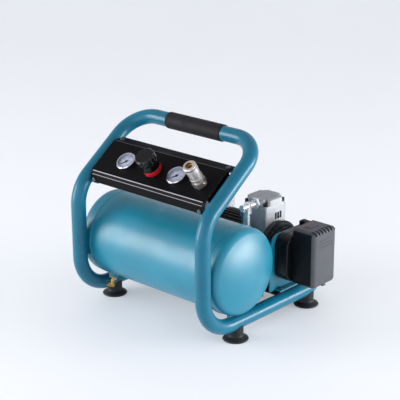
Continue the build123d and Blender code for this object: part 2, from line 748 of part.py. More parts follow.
# ---------------------------------------------------------------- pump
outer_wall = 5.0
big_end_r = eccentric_r + 2 * throw + contact_gap
big_end_wall = 2.6
piston_h = 8.0
crown_z = deck_z - 0.8 - throw
bolt_r = 2.5
bolt_places = [(dx, dy) for dx in (-22.5, 22.5) for dy in (-24.5, 24.5)]
slots = 3
window_y = shaft_y + 6.3
window_z = deck_z - 20.0
window_h = 13.8
window_pitch = 7.0
window_bar = 0.6
window_depth = 2.5
head_grooves = 9
groove_pitch = 5.0
groove_w = 1.8
groove_depth = 1.5
head_y = (shaft_y - block_d / 2, shaft_y + block_d / 2)
for name, side in sides.items():
    x = pump_x[name]
    centre = (x, shaft_y)
    with BuildPart() as pump_block:
        with BuildSketch(Plane.XY.offset(block_base_z)):
            with Locations(centre):
                RectangleRounded(block_w, block_d, 4.0)
        extrude(amount=deck_z - block_base_z)
        chamber_end = outer_face[name] - side * outer_wall
        disc(shaft_axis, chamber_r, inner_face[name], chamber_end, mode=Mode.SUBTRACT)
        disc(shaft_axis, shaft_r + running_gap, x, outer_face[name], mode=Mode.SUBTRACT)
        disc(Plane(origin=(x, shaft_y, shaft_z)), bore_r, 0, deck_z - shaft_z, mode=Mode.SUBTRACT)
        with BuildSketch(Plane.XY.offset(deck_z)):
            with Locations(*[(x + dx, shaft_y + dy) for dx, dy in bolt_places]):
                Circle(bolt_r + running_gap)
        extrude(amount=-12.0, mode=Mode.SUBTRACT)
        for index in range(slots):
            y = window_y + window_pitch * (index - (slots - 1) / 2)
            x_range = (outer_face[name] - side * window_depth, outer_face[name])
            y_range = (y - window_pitch / 2 + window_bar, y + window_pitch / 2 - window_bar)
            block(x_range, y_range, (window_z - window_h / 2, window_z + window_h / 2), mode=Mode.SUBTRACT)
    finish(pump_block, f"pump_block_{name}")

    with BuildPart() as pump_head:
        with BuildSketch(Plane.XY.offset(deck_z)):
            with Locations(centre):
                RectangleRounded(block_w, block_d, 8.0)
        extrude(amount=head_flange)
        with BuildSketch(Plane.XY.offset(deck_z)) as crown_section:
            with Locations(centre):
                Rectangle(block_w, block_d)
            chamfer(crown_section.vertices(), head_chamfer)
        extrude(amount=head_top_z - deck_z)
        chamfer(pump_head.edges().group_by(Axis.Z)[-1], 2.0)
        for index in range(head_grooves):
            groove_x = x + groove_pitch * (index - (head_grooves - 1) / 2)
            groove = (groove_x - groove_w / 2, groove_x + groove_w / 2)
            block(groove, head_y, (head_top_z - groove_depth, head_top_z), mode=Mode.SUBTRACT)
        port = Plane(origin=(x + port_dx, shaft_y, port_z), x_dir=(1, 0, 0), z_dir=(0, -1, 0))
        disc(port, 7.4, 15.0, 31.0)
        disc(port, 5.5, 22.0, 31.0, mode=Mode.SUBTRACT)
        disc(port, 3.5, 10.0, 24.0, mode=Mode.SUBTRACT)
        with BuildSketch(Plane.XY.offset(deck_z)):
            with Locations(*[(x + dx, shaft_y + dy) for dx, dy in bolt_places]):
                Circle(bolt_r + running_gap)
        extrude(amount=head_flange, mode=Mode.SUBTRACT)
        with BuildSketch(Plane.XY.offset(deck_z + head_flange)):
            with Locations(*[(x + dx, shaft_y + dy) for dx, dy in bolt_places]):
                Circle(5.0)
        extrude(amount=head_top_z - deck_z, mode=Mode.SUBTRACT)
        disc(Plane(origin=(x, shaft_y, deck_z)), bore_r - 1.0, 0, 10.0, mode=Mode.SUBTRACT)
    finish(pump_head, f"pump_head_{name}")

    with BuildPart() as piston:
        big_end = Plane(origin=(x, shaft_y, shaft_z), x_dir=(0, 1, 0), z_dir=(1, 0, 0))
        disc(big_end, big_end_r + big_end_wall, -4.0, 4.0)
        block((x - 4, x + 4), (shaft_y - 6, shaft_y + 6), (shaft_z + big_end_r + 1, crown_z - 1))
        disc(Plane(origin=(x, shaft_y, crown_z)), bore_r - running_gap, -piston_h, 0)
        disc(big_end, big_end_r, -4.0, 4.0, mode=Mode.SUBTRACT)
    finish(piston, f"piston_{name}")

bolt_head_r = 4.3
bolt_head_h = 5.5
with BuildPart() as head_bolts:
    for x in pump_x.values():
        for dx, dy in bolt_places:
            bolt = Plane(origin=(x + dx, shaft_y + dy, deck_z + head_flange))
            disc(bolt, bolt_r, -head_flange - 11.0, 0)
            disc(bolt, bolt_head_r, 0, bolt_head_h)
            hexagon(bolt, 4.0, bolt_head_h - 2.5, bolt_head_h, mode=Mode.SUBTRACT)
finish(head_bolts, "head_bolts")

with BuildPart() as end_cover_left:
    turn(
        shaft_axis,
        (shaft_r + 2.0, outer_face["left"]),
        (28.0, outer_face["left"]),
        (28.0, outer_face["left"] - 8.0),
        (24.0, outer_face["left"] - 13.0),
        (0, outer_face["left"] - 13.0),
        (0, outer_face["left"] - 10.0),
        (shaft_r + 2.0, outer_face["left"] - 10.0),
    )
finish(end_cover_left, "end_cover_left")

# ---------------------------------------------------------------- discharge and pilot lines
run_r = 6.0
run_bore = 3.2
body_r = 7.2
body_drop = 14.0
neck_tube_r = 3.4
neck_tube_h = 5.5
drop_r = 4.8
drop_bend = 12.0
valve_end = valve_boss_end + 9.0
drop_y = tank_y + valve_end + 13.0
drop_dy = shaft_y - drop_y
pilot_dy = drop_dy + 13.0
cap_r = 5.0
with BuildPart() as discharge_fittings:
    for name in sides:
        port = Plane(origin=(pump_x[name] + port_dx, shaft_y, port_z), x_dir=(1, 0, 0), z_dir=(0, -1, 0))
        disc(port, 5.5 - running_gap, 24.0, 31.0)
        hexagon(port, 20.0, 31.0, 35.5)
        run_end = pilot_dy + 4.5 if name == "right" else drop_dy + 3.0
        disc(port, run_r, 35.5, run_end)
        drop = Plane(origin=(port.origin.X, drop_y, port_z), z_dir=(0, 0, -1))
        disc(drop, body_r, -run_r - 0.5, body_drop)
        disc(port, run_bore, 24.0, pilot_dy + 1 if name == "right" else drop_dy, mode=Mode.SUBTRACT)
        disc(drop, neck_tube_r + running_gap, run_r + 0.5, body_drop, mode=Mode.SUBTRACT)
        disc(drop, run_bore - 0.5, 0, 8.0, mode=Mode.SUBTRACT)
        if name == "right":
            tap = Plane(origin=(port.origin.X, shaft_y - pilot_dy, port_z), z_dir=(0, 0, -1))
            disc(tap, 4.0, 0, run_r + 1.0)
            disc(tap, pilot_r - 0.8, 0, run_r + 2.0, mode=Mode.SUBTRACT)
finish(discharge_fittings, "discharge_fittings")

with BuildPart() as discharge_tubes:
    for name in sides:
        x = pump_x[name] + port_dx
        top = Plane(origin=(x, drop_y, port_z - body_drop - neck_tube_h))
        points = (top.origin, (x, drop_y, tank_z), (x, tank_y + valve_end - 5.0, tank_z))
        run_tube(points, drop_bend, drop_r)
        disc(top, neck_tube_r, -1.0, neck_tube_h + 5.0)
        run_tube((top.offset(-2.5).origin, *points[1:]), drop_bend, drop_r - 1.2, mode=Mode.SUBTRACT)
        disc(top, neck_tube_r - 1.0, -3.0, neck_tube_h + 5.0, mode=Mode.SUBTRACT)
finish(discharge_tubes, "discharge_tubes")

with BuildPart() as check_valves:
    for name in sides:
        plane = valve_boss[name]
        disc(plane, valve_thread_r - running_gap, valve_boss_end - 9.0, valve_boss_end)
        hexagon(plane, 17.0, valve_boss_end, valve_end)
        disc(plane, drop_r + running_gap, valve_end - 5.5, valve_end, mode=Mode.SUBTRACT)
        disc(plane, 3.0, valve_boss_end - 9.0, valve_end, mode=Mode.SUBTRACT)
finish(check_valves, "check_valves")

pilot_y = shaft_y - pilot_dy
with BuildPart() as pilot_tube:
    points = (
        (pilot_x, pilot_y, port_z - run_r - 1),
        (pilot_x, pilot_y, pilot_z),
        (pilot_x, tank_y + pilot_boss_end - 9, pilot_z),
    )
    run_tube(points, 9.0, pilot_r)
    nut = Plane(origin=(pilot_x, pilot_y, port_z - run_r - 1), z_dir=(0, 0, -1))
    disc(nut, cap_r, 0, 9.0)
    run_tube(points, 9.0, pilot_r - 0.8, mode=Mode.SUBTRACT)
finish(pilot_tube, "pilot_tube")

# ---------------------------------------------------------------- fan
fan_r = 38.0
hub_r = 11.0
blades = 9
blade_pitch = 35.0
with BuildPart() as fan:
    disc(shaft_axis, hub_r, fan_x[0], fan_x[1])
    for index in range(blades):
        angle = math.radians(360 / blades * index)
        radial = Vector(0, math.cos(angle), math.sin(angle))
        root = Vector((fan_x[0] + fan_x[1]) / 2, shaft_y, shaft_z) + radial * (hub_r - 1)
        with BuildSketch(spun(Plane(origin=root, x_dir=(1, 0, 0), z_dir=radial), blade_pitch)):
            Rectangle(11.0, 1.8)
        extrude(amount=fan_r - hub_r + 1)
    disc(shaft_axis, shaft_r + running_gap, fan_x[0], fan_x[1], mode=Mode.SUBTRACT)
finish(fan, "fan")

shroud_steps = ((53.5, 10.0), (48.0, 15.5), (43.0, 21.0))
shroud_wall = 2.5
shroud_mouth_r = 24.0
shroud_root_r = 30.0
shroud_x = outer_face["right"]
outline = [(shroud_root_r, shroud_x)]
start = 0.0
for radius, depth in shroud_steps:
    outline += [(radius, shroud_x + start), (radius, shroud_x + depth)]
    start = depth
outline += [(shroud_mouth_r, shroud_x + start), (shroud_mouth_r, shroud_x + start - shroud_wall)]
for (radius, depth), (_, before) in zip(shroud_steps[::-1], shroud_steps[-2::-1] + ((0.0, 0.0),)):
    inside = shroud_x + max(before - shroud_wall, shroud_wall)
    outline += [(radius - shroud_wall, shroud_x + depth - shroud_wall), (radius - shroud_wall, inside)]
outline += [(shroud_root_r, shroud_x + shroud_wall)]
with BuildPart() as fan_shroud:
    turn(shaft_axis, *outline)
finish(fan_shroud, "fan_shroud")

# ---------------------------------------------------------------- end bracket and battery dock
with BuildPart() as end_bracket:
    with BuildSketch(Plane(origin=(bracket_x, shaft_y, base_top), x_dir=(0, 1, 0), z_dir=(1, 0, 0))):
        with Locations((0, (bracket_top_z - base_top) / 2)):
            Rectangle(2 * bracket_half_y, bracket_top_z - base_top)
    extrude(amount=bracket_sheet)
    fillet(end_bracket.edges().filter_by(Axis.X).group_by(Axis.Z)[-1], 22.0)
    y_range = (shaft_y - bracket_foot_half_y, shaft_y + bracket_foot_half_y)
    block((bracket_x, bracket_face + bracket_foot), y_range, (base_top, base_top + bracket_sheet))
    disc(shaft_axis, 20.0, bracket_x, bracket_face, mode=Mode.SUBTRACT)
    for plane in foot_screws:
        disc(plane, screw_r + running_gap, -bracket_sheet, 1, mode=Mode.SUBTRACT)
finish(end_bracket, "end_bracket")

holder_y = (22.0, 121.0)
holder_z = (70.0, 162.0)
holder_corner = 24.0
seam_at = 11.5
seam_w = 1.2
seam_depth = 1.0
rail_neck_half = 18.0
rail_half = 24.0
rail_neck = 4.0
rail_depth = 9.0
rail_x = (dock_x + rail_neck, dock_x + rail_depth)
rail_run = (battery_z + 6.0, battery_z + 78.0)
holder_mid = Plane(
    origin=(bracket_face, sum(holder_y) / 2, sum(holder_z) / 2), x_dir=(0, 1, 0), z_dir=(1, 0, 0)
)
with BuildPart() as battery_holder:
    with BuildSketch(holder_mid):
        RectangleRounded(holder_y[1] - holder_y[0], holder_z[1] - holder_z[0], holder_corner)
    extrude(amount=holder_depth)
    fillet(battery_holder.edges().group_by(Axis.X)[-1], 2.0)
    with BuildSketch(holder_mid.offset(seam_at)):
        RectangleRounded(holder_y[1] - holder_y[0] + 2, holder_z[1] - holder_z[0] + 2, holder_corner + 1)
        offset(amount=-1 - seam_depth, mode=Mode.SUBTRACT)
    extrude(amount=seam_w, mode=Mode.SUBTRACT)
    for x_range, half in (((dock_x - 1, dock_x + rail_neck), rail_neck_half), (rail_x, rail_half)):
        block(x_range, (battery_y - half, battery_y + half), rail_run)
finish(battery_holder, "battery_holder")

battery_back = dock_x + contact_gap
battery_top = battery_z + battery_h
button_x = (battery_back + 10.0, battery_back + 24.0)
button_half_y = 13.0
button_h = 6.0
button_travel = 3.0
slide_gap = 0.5
vents = 7
vent_pitch = 9.0
dots_across = 8
dots_up = 3
dots_z = battery_top - 25.0
dot_pitch = 4.6
dot_row = 6.5
dot_r = 1.0
dot_depth = 1.5
with BuildPart() as battery_pack:
    with BuildSketch(Plane(origin=(battery_back, battery_y, battery_z), x_dir=(0, 1, 0), z_dir=(1, 0, 0))):
        with Locations((0, battery_h / 2)):
            RectangleRounded(battery_w, battery_h, 9.0)
    extrude(amount=battery_face - battery_back)
    fillet(battery_pack.edges().group_by(Axis.X)[-1], 8.0)
    channel_z = (battery_z - 1, rail_run[1] + slide_gap)
    rail_slot = (rail_x[0] - slide_gap, rail_x[1] + slide_gap)
    for x_range, half in (((battery_back - 1, rail_x[0]), rail_neck_half), (rail_slot, rail_half)):
        y_range = (battery_y - half - slide_gap, battery_y + half + slide_gap)
        block(x_range, y_range, channel_z, mode=Mode.SUBTRACT)
    for index in range(vents):
        y = battery_y + vent_pitch * (index - (vents - 1) / 2) + 0.5
        vent_z = (battery_top - 7, battery_top)
        block((battery_face - 13, battery_face), (y - 2.7, y + 2.7), vent_z, mode=Mode.SUBTRACT)
    button_y = (battery_y - button_half_y - contact_gap, battery_y + button_half_y + contact_gap)
    pocket_x = (button_x[0] - contact_gap, button_x[1] + contact_gap)
    block(pocket_x, button_y, (battery_top - button_h, battery_top), mode=Mode.SUBTRACT)
    with BuildSketch(Plane(origin=(battery_face, battery_y, dots_z), x_dir=(0, 1, 0), z_dir=(1, 0, 0))):
        with GridLocations(dot_pitch, dot_row, dots_across, dots_up):
            Circle(dot_r)
    extrude(amount=-dot_depth, mode=Mode.SUBTRACT)
    latch_y = (battery_y + 1, battery_y + 9)
    block((battery_face - 12, battery_face - 4), latch_y, (battery_z - 3, battery_z + 2))
finish(battery_pack, "battery_pack")

with BuildPart() as battery_button:
    y_range = (battery_y - button_half_y, battery_y + button_half_y)
    block(button_x, y_range, (battery_top - button_h + button_travel, battery_top + 1.2))
    fillet(battery_button.edges().filter_by(Axis.Z), 2.0)
finish(battery_button, "battery_button")

# ---------------------------------------------------------------- power switch
switch_x = (150.0, 169.0)
switch_y = (84.0, 98.0)
switch_top = 174.0
rocker_r = 6.5
rocker_w = 8.0
rocker_pin_r = 1.2
rocker_sink = 2.5
rocker_tilt = 8.0
switch_mid = (sum(switch_x) / 2, sum(switch_y) / 2)
rocker_z = switch_top - rocker_sink
rocker_axis = Plane(origin=(switch_mid[0], switch_mid[1], rocker_z), x_dir=(1, 0, 0), z_dir=(0, 1, 0))
pin_half = rocker_w / 2 + 2.0
with BuildPart() as switch_housing:
    block(switch_x, switch_y, (holder_z[1], switch_top))
    fillet(switch_housing.edges().filter_by(Axis.Z), 1.5)
    pocket_y = (switch_mid[1] - rocker_w / 2 - contact_gap, switch_mid[1] + rocker_w / 2 + contact_gap)
    pocket_x = (switch_mid[0] - rocker_r - 1.0, switch_mid[0] + rocker_r + 1.0)
    block(pocket_x, pocket_y, (rocker_z - rocker_r - 1.0, switch_top), mode=Mode.SUBTRACT)
    disc(rocker_axis, rocker_pin_r + running_gap, -pin_half - 0.3, pin_half + 0.3, mode=Mode.SUBTRACT)
finish(switch_housing, "switch_housing")

with BuildPart() as switch_rocker:
    with BuildSketch(spun(rocker_axis, rocker_tilt).offset(-rocker_w / 2)):
        Circle(rocker_r)
        with Locations((0, -rocker_r - rocker_sink)):
            Rectangle(2 * rocker_r, 2 * rocker_r - rocker_sink, mode=Mode.SUBTRACT)
    extrude(amount=rocker_w)
    disc(rocker_axis, rocker_pin_r, -pin_half, pin_half)
finish(switch_rocker, "switch_rocker")
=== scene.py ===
import json
import math

import bmesh
import bpy
from mathutils import Matrix, Vector


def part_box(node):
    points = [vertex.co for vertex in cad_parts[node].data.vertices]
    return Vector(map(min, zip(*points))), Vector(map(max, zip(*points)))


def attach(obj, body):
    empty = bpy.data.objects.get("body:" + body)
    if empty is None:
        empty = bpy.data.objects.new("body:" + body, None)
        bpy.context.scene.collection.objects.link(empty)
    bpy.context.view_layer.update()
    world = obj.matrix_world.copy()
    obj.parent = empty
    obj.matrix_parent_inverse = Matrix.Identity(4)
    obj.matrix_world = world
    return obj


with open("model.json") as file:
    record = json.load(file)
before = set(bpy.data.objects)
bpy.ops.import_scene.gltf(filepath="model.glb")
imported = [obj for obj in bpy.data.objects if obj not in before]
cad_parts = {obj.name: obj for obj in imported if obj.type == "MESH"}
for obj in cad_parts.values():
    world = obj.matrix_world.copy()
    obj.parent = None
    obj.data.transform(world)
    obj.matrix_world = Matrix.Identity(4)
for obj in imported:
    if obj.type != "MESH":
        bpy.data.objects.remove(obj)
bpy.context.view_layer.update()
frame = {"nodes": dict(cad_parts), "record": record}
nodes = frame["nodes"]

MM = 0.001
DRIFT = (0.3, 0.7)  # the part of a noise texture's range that most of its values fall in


# ---------------------------------------------------------------- node helpers
def srgb(red, green, blue):
    """Linear colour of an 8-bit sRGB one."""
    def linear(value):
        value /= 255
        return value / 12.92 if value <= 0.04045 else ((value + 0.055) / 1.055) ** 2.4

    return (linear(red), linear(green), linear(blue), 1.0)


class Look:
    """A procedural material under construction: a shader, object coordinates and small node helpers."""

    def __init__(self, name, metallic=0.0, coat=0.0, coat_rough=0.1, specular=0.5):
        self.material = bpy.data.materials.new(name)
        self.material.use_nodes = True
        self.tree = self.material.node_tree
        self.tree.nodes.clear()
        output = self.tree.nodes.new("ShaderNodeOutputMaterial")
        self.shader = self.tree.nodes.new("ShaderNodeBsdfPrincipled")
        self.tree.links.new(self.shader.outputs[0], output.inputs[0])
        self.shader.inputs["Metallic"].default_value = metallic
        self.shader.inputs["Coat Weight"].default_value = coat
        self.shader.inputs["Coat Roughness"].default_value = coat_rough
        self.shader.inputs["Specular IOR Level"].default_value = specular
        self.place = self.tree.nodes.new("ShaderNodeTexCoord").outputs["Object"]

    def link(self, socket, target):
        """Connect a socket, or set a plain value."""
        if hasattr(socket, "is_linked"):
            self.tree.links.new(socket, target)
        else:
            target.default_value = socket

    def noise(self, scale, detail=3.0, rough=0.55, stretch=None):
        """Noise in object coordinates, stretched along an axis if asked."""
        source = self.place
        if stretch:
            mapping = self.tree.nodes.new("ShaderNodeMapping")
            mapping.inputs["Scale"].default_value = stretch
            self.tree.links.new(source, mapping.inputs["Vector"])
            source = mapping.outputs[0]
        texture = self.tree.nodes.new("ShaderNodeTexNoise")
        texture.inputs["Scale"].default_value = scale
        texture.inputs["Detail"].default_value = detail
        texture.inputs["Roughness"].default_value = rough
        self.tree.links.new(source, texture.inputs["Vector"])
        return texture.outputs["Fac"]

    def cells(self, scale):
        """Small round cells, for a moulded grain."""
        texture = self.tree.nodes.new("ShaderNodeTexVoronoi")
        texture.inputs["Scale"].default_value = scale
        self.tree.links.new(self.place, texture.inputs["Vector"])
        return texture.outputs["Distance"]

    def spread(self, value, low, high, to_low, to_high):
        """Map a value's low to high range onto another, held at both ends."""
        node = self.tree.nodes.new("ShaderNodeMapRange")
        self.link(value, node.inputs["Value"])
        for key, number in (("From Min", low), ("From Max", high), ("To Min", to_low), ("To Max", to_high)):
            node.inputs[key].default_value = number
        return node.outputs[0]

    def math(self, operation, first, second=0.0):
        """One sum of two sockets or values."""
        node = self.tree.nodes.new("ShaderNodeMath")
        node.operation = operation
        self.link(first, node.inputs[0])
        self.link(second, node.inputs[1])
        return node.outputs[0]

    def mix(self, factor, first, second):
        """The first colour at factor 0, the second at factor 1."""
        node = self.tree.nodes.new("ShaderNodeMix")
        node.data_type = "RGBA"
        self.link(factor, node.inputs[0])
        self.link(first, node.inputs[6])
        self.link(second, node.inputs[7])
        return node.outputs[2]

    def edges(self, width, low=0.02, high=0.2):
        """1 on sharp edges, 0 on faces: how far a bevelled normal leans away from the true one."""
        bevel = self.tree.nodes.new("ShaderNodeBevel")
        bevel.samples = 4
        bevel.inputs["Radius"].default_value = width
        geometry = self.tree.nodes.new("ShaderNodeNewGeometry")
        dot = self.tree.nodes.new("ShaderNodeVectorMath")
        dot.operation = "DOT_PRODUCT"
        self.tree.links.new(bevel.outputs[0], dot.inputs[0])
        self.tree.links.new(geometry.outputs["Normal"], dot.inputs[1])
        return self.spread(self.math("SUBTRACT", 1.0, dot.outputs["Value"]), low, high, 0.0, 1.0)

    def bump(self, height, strength, distance):
        """Lean the shading normal by a height, on top of any normal set before."""
        node = self.tree.nodes.new("ShaderNodeBump")
        node.inputs["Strength"].default_value = strength
        node.inputs["Distance"].default_value = distance
        self.tree.links.new(height, node.inputs["Height"])
        if self.shader.inputs["Normal"].is_linked:
            previous = self.shader.inputs["Normal"].links[0].from_socket
            self.tree.links.new(previous, node.inputs["Normal"])
        self.tree.links.new(node.outputs[0], self.shader.inputs["Normal"])

    def calm_pole(self, axis_y, axis_z, radius):
        """Shade with the face's own normal near an axis along X, as the pole of a dome has no smooth one."""
        flat = self.tree.nodes.new("ShaderNodeMapping")
        flat.inputs["Scale"].default_value = (0, 1, 1)
        self.tree.links.new(self.place, flat.inputs["Vector"])
        away = self.tree.nodes.new("ShaderNodeVectorMath")
        away.operation = "DISTANCE"
        self.tree.links.new(flat.outputs[0], away.inputs[0])
        away.inputs[1].default_value = (0, axis_y, axis_z)
        geometry = self.tree.nodes.new("ShaderNodeNewGeometry")
        blend = self.tree.nodes.new("ShaderNodeMix")
        blend.data_type = "VECTOR"
        share = self.spread(away.outputs["Value"], radius, radius * 1.25, 1.0, 0.0)
        self.tree.links.new(share, blend.inputs[0])
        self.tree.links.new(geometry.outputs["Normal"], blend.inputs[4])
        self.tree.links.new(geometry.outputs["True Normal"], blend.inputs[5])
        self.tree.links.new(blend.outputs[1], self.shader.inputs["Normal"])

    def set(self, key, value):
        """Give the shader a plain value or a socket."""
        self.link(value, self.shader.inputs[key])

    def drifting(self, colour, noise, darkest, lightest):
        """A colour that wanders with a noise between two tints of itself."""
        share = self.spread(noise, *DRIFT, 0.0, 1.0)
        return self.mix(share, tinted(colour, darkest), tinted(colour, lightest))

    def uneven(self, rough, noise, smoothest, roughest):
        """Roughness that wanders with a noise round one value."""
        self.set("Roughness", self.spread(noise, *DRIFT, rough * smoothest, rough * roughest))


def tinted(colour, factor):
    """A colour made darker or lighter."""
    return (colour[0] * factor, colour[1] * factor, colour[2] * factor, 1.0)


def painted(
    name,
    colour,
    rough,
    coat=0.0,
    worn=None,
    peel=0.25,
    blotch=0.12,
    coat_rough=0.08,
    specular=0.5,
    fold=(0.02, 0.2),
    pole=None,
):
    """Coated metal: slow colour drift, orange peel, dust speckle and lighter rubbed edges."""
    look = Look(name, coat=coat, coat_rough=coat_rough, specular=specular)
    if pole:
        look.calm_pole(*pole)
    body = look.drifting(colour, look.noise(14.0, 4.0), 1 - blotch, 1 + blotch)
    speck = look.spread(look.noise(900.0, 2.0), 0.66, 0.75, 0.0, 0.12)
    body = look.mix(speck, body, tinted(colour, 1.6))
    if worn:
        patches = look.spread(look.noise(160.0, 4.0), 0.4, 0.62, 0.0, 1.0)
        rubbed = look.math("MULTIPLY", look.edges(1.2 * MM, *fold), patches)
        body = look.mix(rubbed, body, worn)
    look.set("Base Color", body)
    look.uneven(rough, look.noise(26.0, 2.0), 0.88, 1.16)
    look.bump(look.noise(420.0, 2.0), peel, 0.2 * MM)
    return look.material


def metal(name, colour, rough, brushed=None, worn=None, pits=0.0, metallic=1.0):
    """Bare metal: tarnish drift, optional brushing along one axis and optional casting pits."""
    look = Look(name, metallic=metallic)
    body = look.drifting(colour, look.noise(35.0, 5.0), 0.82, 1.06)
    if worn:
        body = look.mix(look.edges(0.8 * MM), body, worn)
    look.set("Base Color", body)
    grain = look.noise(220.0, 3.0, stretch=brushed) if brushed else look.noise(260.0, 4.0)
    look.uneven(rough, grain, 0.75, 1.3)
    look.bump(grain, 0.12 + pits, 0.2 * MM)
    return look.material


def plastic(name, colour, rough, grain=0.3, worn=None, coat=0.0, specular=0.5):
    """Moulded plastic or rubber: fine spark-eroded grain, slight colour drift and lighter edges, which are
    rubbed wear and, on the knob, fan and dock, also a painted edge highlight.
    """
    look = Look(name, coat=coat, coat_rough=0.2, specular=specular)
    body = look.drifting(colour, look.noise(25.0, 4.0), 0.85, 1.15)
    if worn:
        patches = look.spread(look.noise(200.0, 3.0), 0.35, 0.6, 0.2, 1.0)
        rubbed = look.math("MULTIPLY", look.edges(1.0 * MM), patches)
        body = look.mix(rubbed, body, worn)
    look.set("Base Color", body)
    look.uneven(rough, look.noise(80.0, 4.0), 0.85, 1.15)
    look.bump(look.cells(1400.0), grain, 0.1 * MM)
    return look.material


def lit_face_plastic(name, body, lit_face, lit_x, lit_z, rough, specular):
    """Black moulded plastic with a painted reflection: lighter beyond lit_x and above lit_z, with lighter
    edges, where its face and top reflect bright surroundings, over the darker black body.
    """
    look = Look(name, specular=specular)
    split = look.tree.nodes.new("ShaderNodeSeparateXYZ")
    look.tree.links.new(look.place, split.inputs[0])
    seam = 0.2 * MM
    outer = look.spread(split.outputs[0], lit_x - seam, lit_x + seam, 0.0, 1.0)
    upper = look.spread(split.outputs[2], lit_z - seam, lit_z + seam, 0.0, 1.0)
    lit_share = look.math("MAXIMUM", outer, upper)
    drift = look.noise(25.0, 4.0)
    dark = look.drifting(body, drift, 0.8, 1.2)
    light = look.drifting(lit_face, drift, 0.9, 1.1)
    # lighter edges, part of the painted reflection
    light = look.mix(look.edges(0.8 * MM), light, tinted(lit_face, 1.6))
    look.set("Base Color", look.mix(lit_share, dark, light))
    look.uneven(rough, look.noise(80.0, 4.0), 0.85, 1.15)
    look.bump(look.cells(1400.0), 0.3, 0.1 * MM)
    return look.material


def glass(name):
    """Clear window with faint smears."""
    look = Look(name, specular=0.5)
    look.set("Base Color", look.mix(look.noise(120.0), (0.9, 0.93, 0.97, 1), (0.98, 0.99, 1, 1)))
    look.set("Roughness", look.spread(look.noise(70.0, 5.0), 0.4, 0.8, 0.03, 0.12))
    look.shader.inputs["Transmission Weight"].default_value = 1.0
    look.shader.inputs["IOR"].default_value = 1.1
    look.bump(look.noise(30.0), 0.02, 0.2 * MM)
    return look.material


def corners(node):
    """Low and high corner of a node's box, as vectors."""
    return [Vector(corner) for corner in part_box(node)]


# ---------------------------------------------------------------- looks
battery_low, battery_high = corners("battery_pack")
# the battery's face and top are painted lighter from these places on, as a painted reflection
LIT_FACE_X = battery_high.x - 7.0 * MM
LIT_FACE_Z = battery_high.z - 4.0 * MM
tank_low, tank_high = corners("tank_shell")
TANK_POLE = ((tank_low.y + tank_high.y) / 2, (tank_low.z + tank_high.z) / 2, 5.6 * MM)
LOOKS = {
    "frame_paint": painted(
        "teal_frame",
        srgb(8, 102, 128),
        0.3,
        coat=0.18,
        worn=srgb(60, 140, 165),
        coat_rough=0.12,
        specular=0.32,
        fold=(0.1, 0.35),
    ),
    "tank_paint": painted(
        "teal_tank",
        srgb(10, 124, 150),
        0.42,
        coat=0.35,
        worn=srgb(60, 150, 175),
        coat_rough=0.3,
        fold=(0.08, 0.3),
        pole=TANK_POLE,
    ),
    "pilot_paint": painted("teal_line", srgb(38, 84, 98), 0.35, coat=0.2, worn=srgb(120, 140, 150)),
    "grip_rubber": plastic("grip", srgb(33, 30, 34), 0.62, grain=0.5, specular=0.2),
    "foot_rubber": plastic("foot", srgb(22, 24, 27), 0.55, grain=0.4, specular=0.35),
    "black_sheet": painted(
        "black_sheet", srgb(9, 8, 11), 0.5, worn=srgb(84, 82, 88), blotch=0.2, specular=0.07
    ),
    "screw_steel": metal("screw", srgb(96, 96, 102), 0.3, worn=srgb(190, 190, 196)),
    "black_steel": painted("black_oxide", srgb(20, 21, 24), 0.35, worn=srgb(90, 92, 96), specular=0.3),
    "manifold_metal": metal("manifold", srgb(190, 190, 194), 0.35, brushed=(1.0, 20.0, 20.0)),
    "plated_steel": metal("plated", srgb(236, 238, 241), 0.22, metallic=0.7, pits=-0.1),
    "brass": metal("brass_parts", srgb(200, 160, 84), 0.26, worn=srgb(225, 195, 130)),
    "bezel_chrome": metal("bezel", srgb(206, 207, 220), 0.14),
    "red_plastic": plastic("red", srgb(198, 24, 36), 0.35, grain=0.2, coat=0.3),
    # knob edges made light as rubbed wear and as a painted highlight on its ribs and rim
    "knob_plastic": plastic(
        "knob", srgb(8, 8, 9), 0.2, grain=0.05, worn=srgb(130, 134, 136), specular=0.24
    ),
    "coupler_nickel": metal(
        "nickel", srgb(203, 197, 193), 0.34, worn=srgb(240, 236, 232), metallic=0.85
    ),
    "motor_black": painted("motor", srgb(34, 35, 37), 0.4, worn=srgb(84, 88, 90), specular=0.3),
    "stator_steel": metal("stator", srgb(120, 120, 124), 0.45),
    "shaft_steel": metal("shaft", srgb(170, 170, 174), 0.3),
    "cast_alloy": metal(
        "cast", srgb(176, 179, 183), 0.44, pits=0.2, metallic=0.9, worn=srgb(230, 232, 234)
    ),
    # fan edges made light as rubbed wear and as a painted highlight on the shroud's rim
    "fan_plastic": plastic(
        "fan", srgb(34, 35, 39), 0.3, grain=0.15, worn=srgb(110, 112, 118), specular=0.45
    ),
    # dock edges made light as rubbed wear and as a painted gloss highlight
    "dock_plastic": plastic(
        "dock", srgb(11, 12, 15), 0.3, grain=0.1, worn=srgb(64, 66, 72), specular=0.3
    ),
    # black battery plastic whose face and top carry a painted reflection in grey
    "battery_black": lit_face_plastic(
        "battery", srgb(13, 14, 17), srgb(80, 82, 87), LIT_FACE_X, LIT_FACE_Z, 0.42, 0.2
    ),
    "pointer_black": painted("pointer", srgb(22, 22, 24), 0.4),
    "dial_white": plastic("dial", srgb(190, 194, 210), 0.5, grain=0.05),
    "gauge_glass": glass("gauge_window"),
}
slot_of = {part["node"]: part["material_slot"] for part in frame["record"]["subparts"]}
for name, node in nodes.items():
    node.data.materials.clear()
    node.data.materials.append(LOOKS[slot_of[name]])

INK = plastic("dial_ink", srgb(30, 32, 38), 0.5, grain=0.05)
RED_INK = plastic("dial_red_ink", srgb(170, 30, 36), 0.5, grain=0.05)
# near-black plates laid in grooves, slots, holes and vents: painted shade
RECESS_SHADE = plastic("painted_recess_shade", srgb(14, 15, 17), 0.7, grain=0.3)


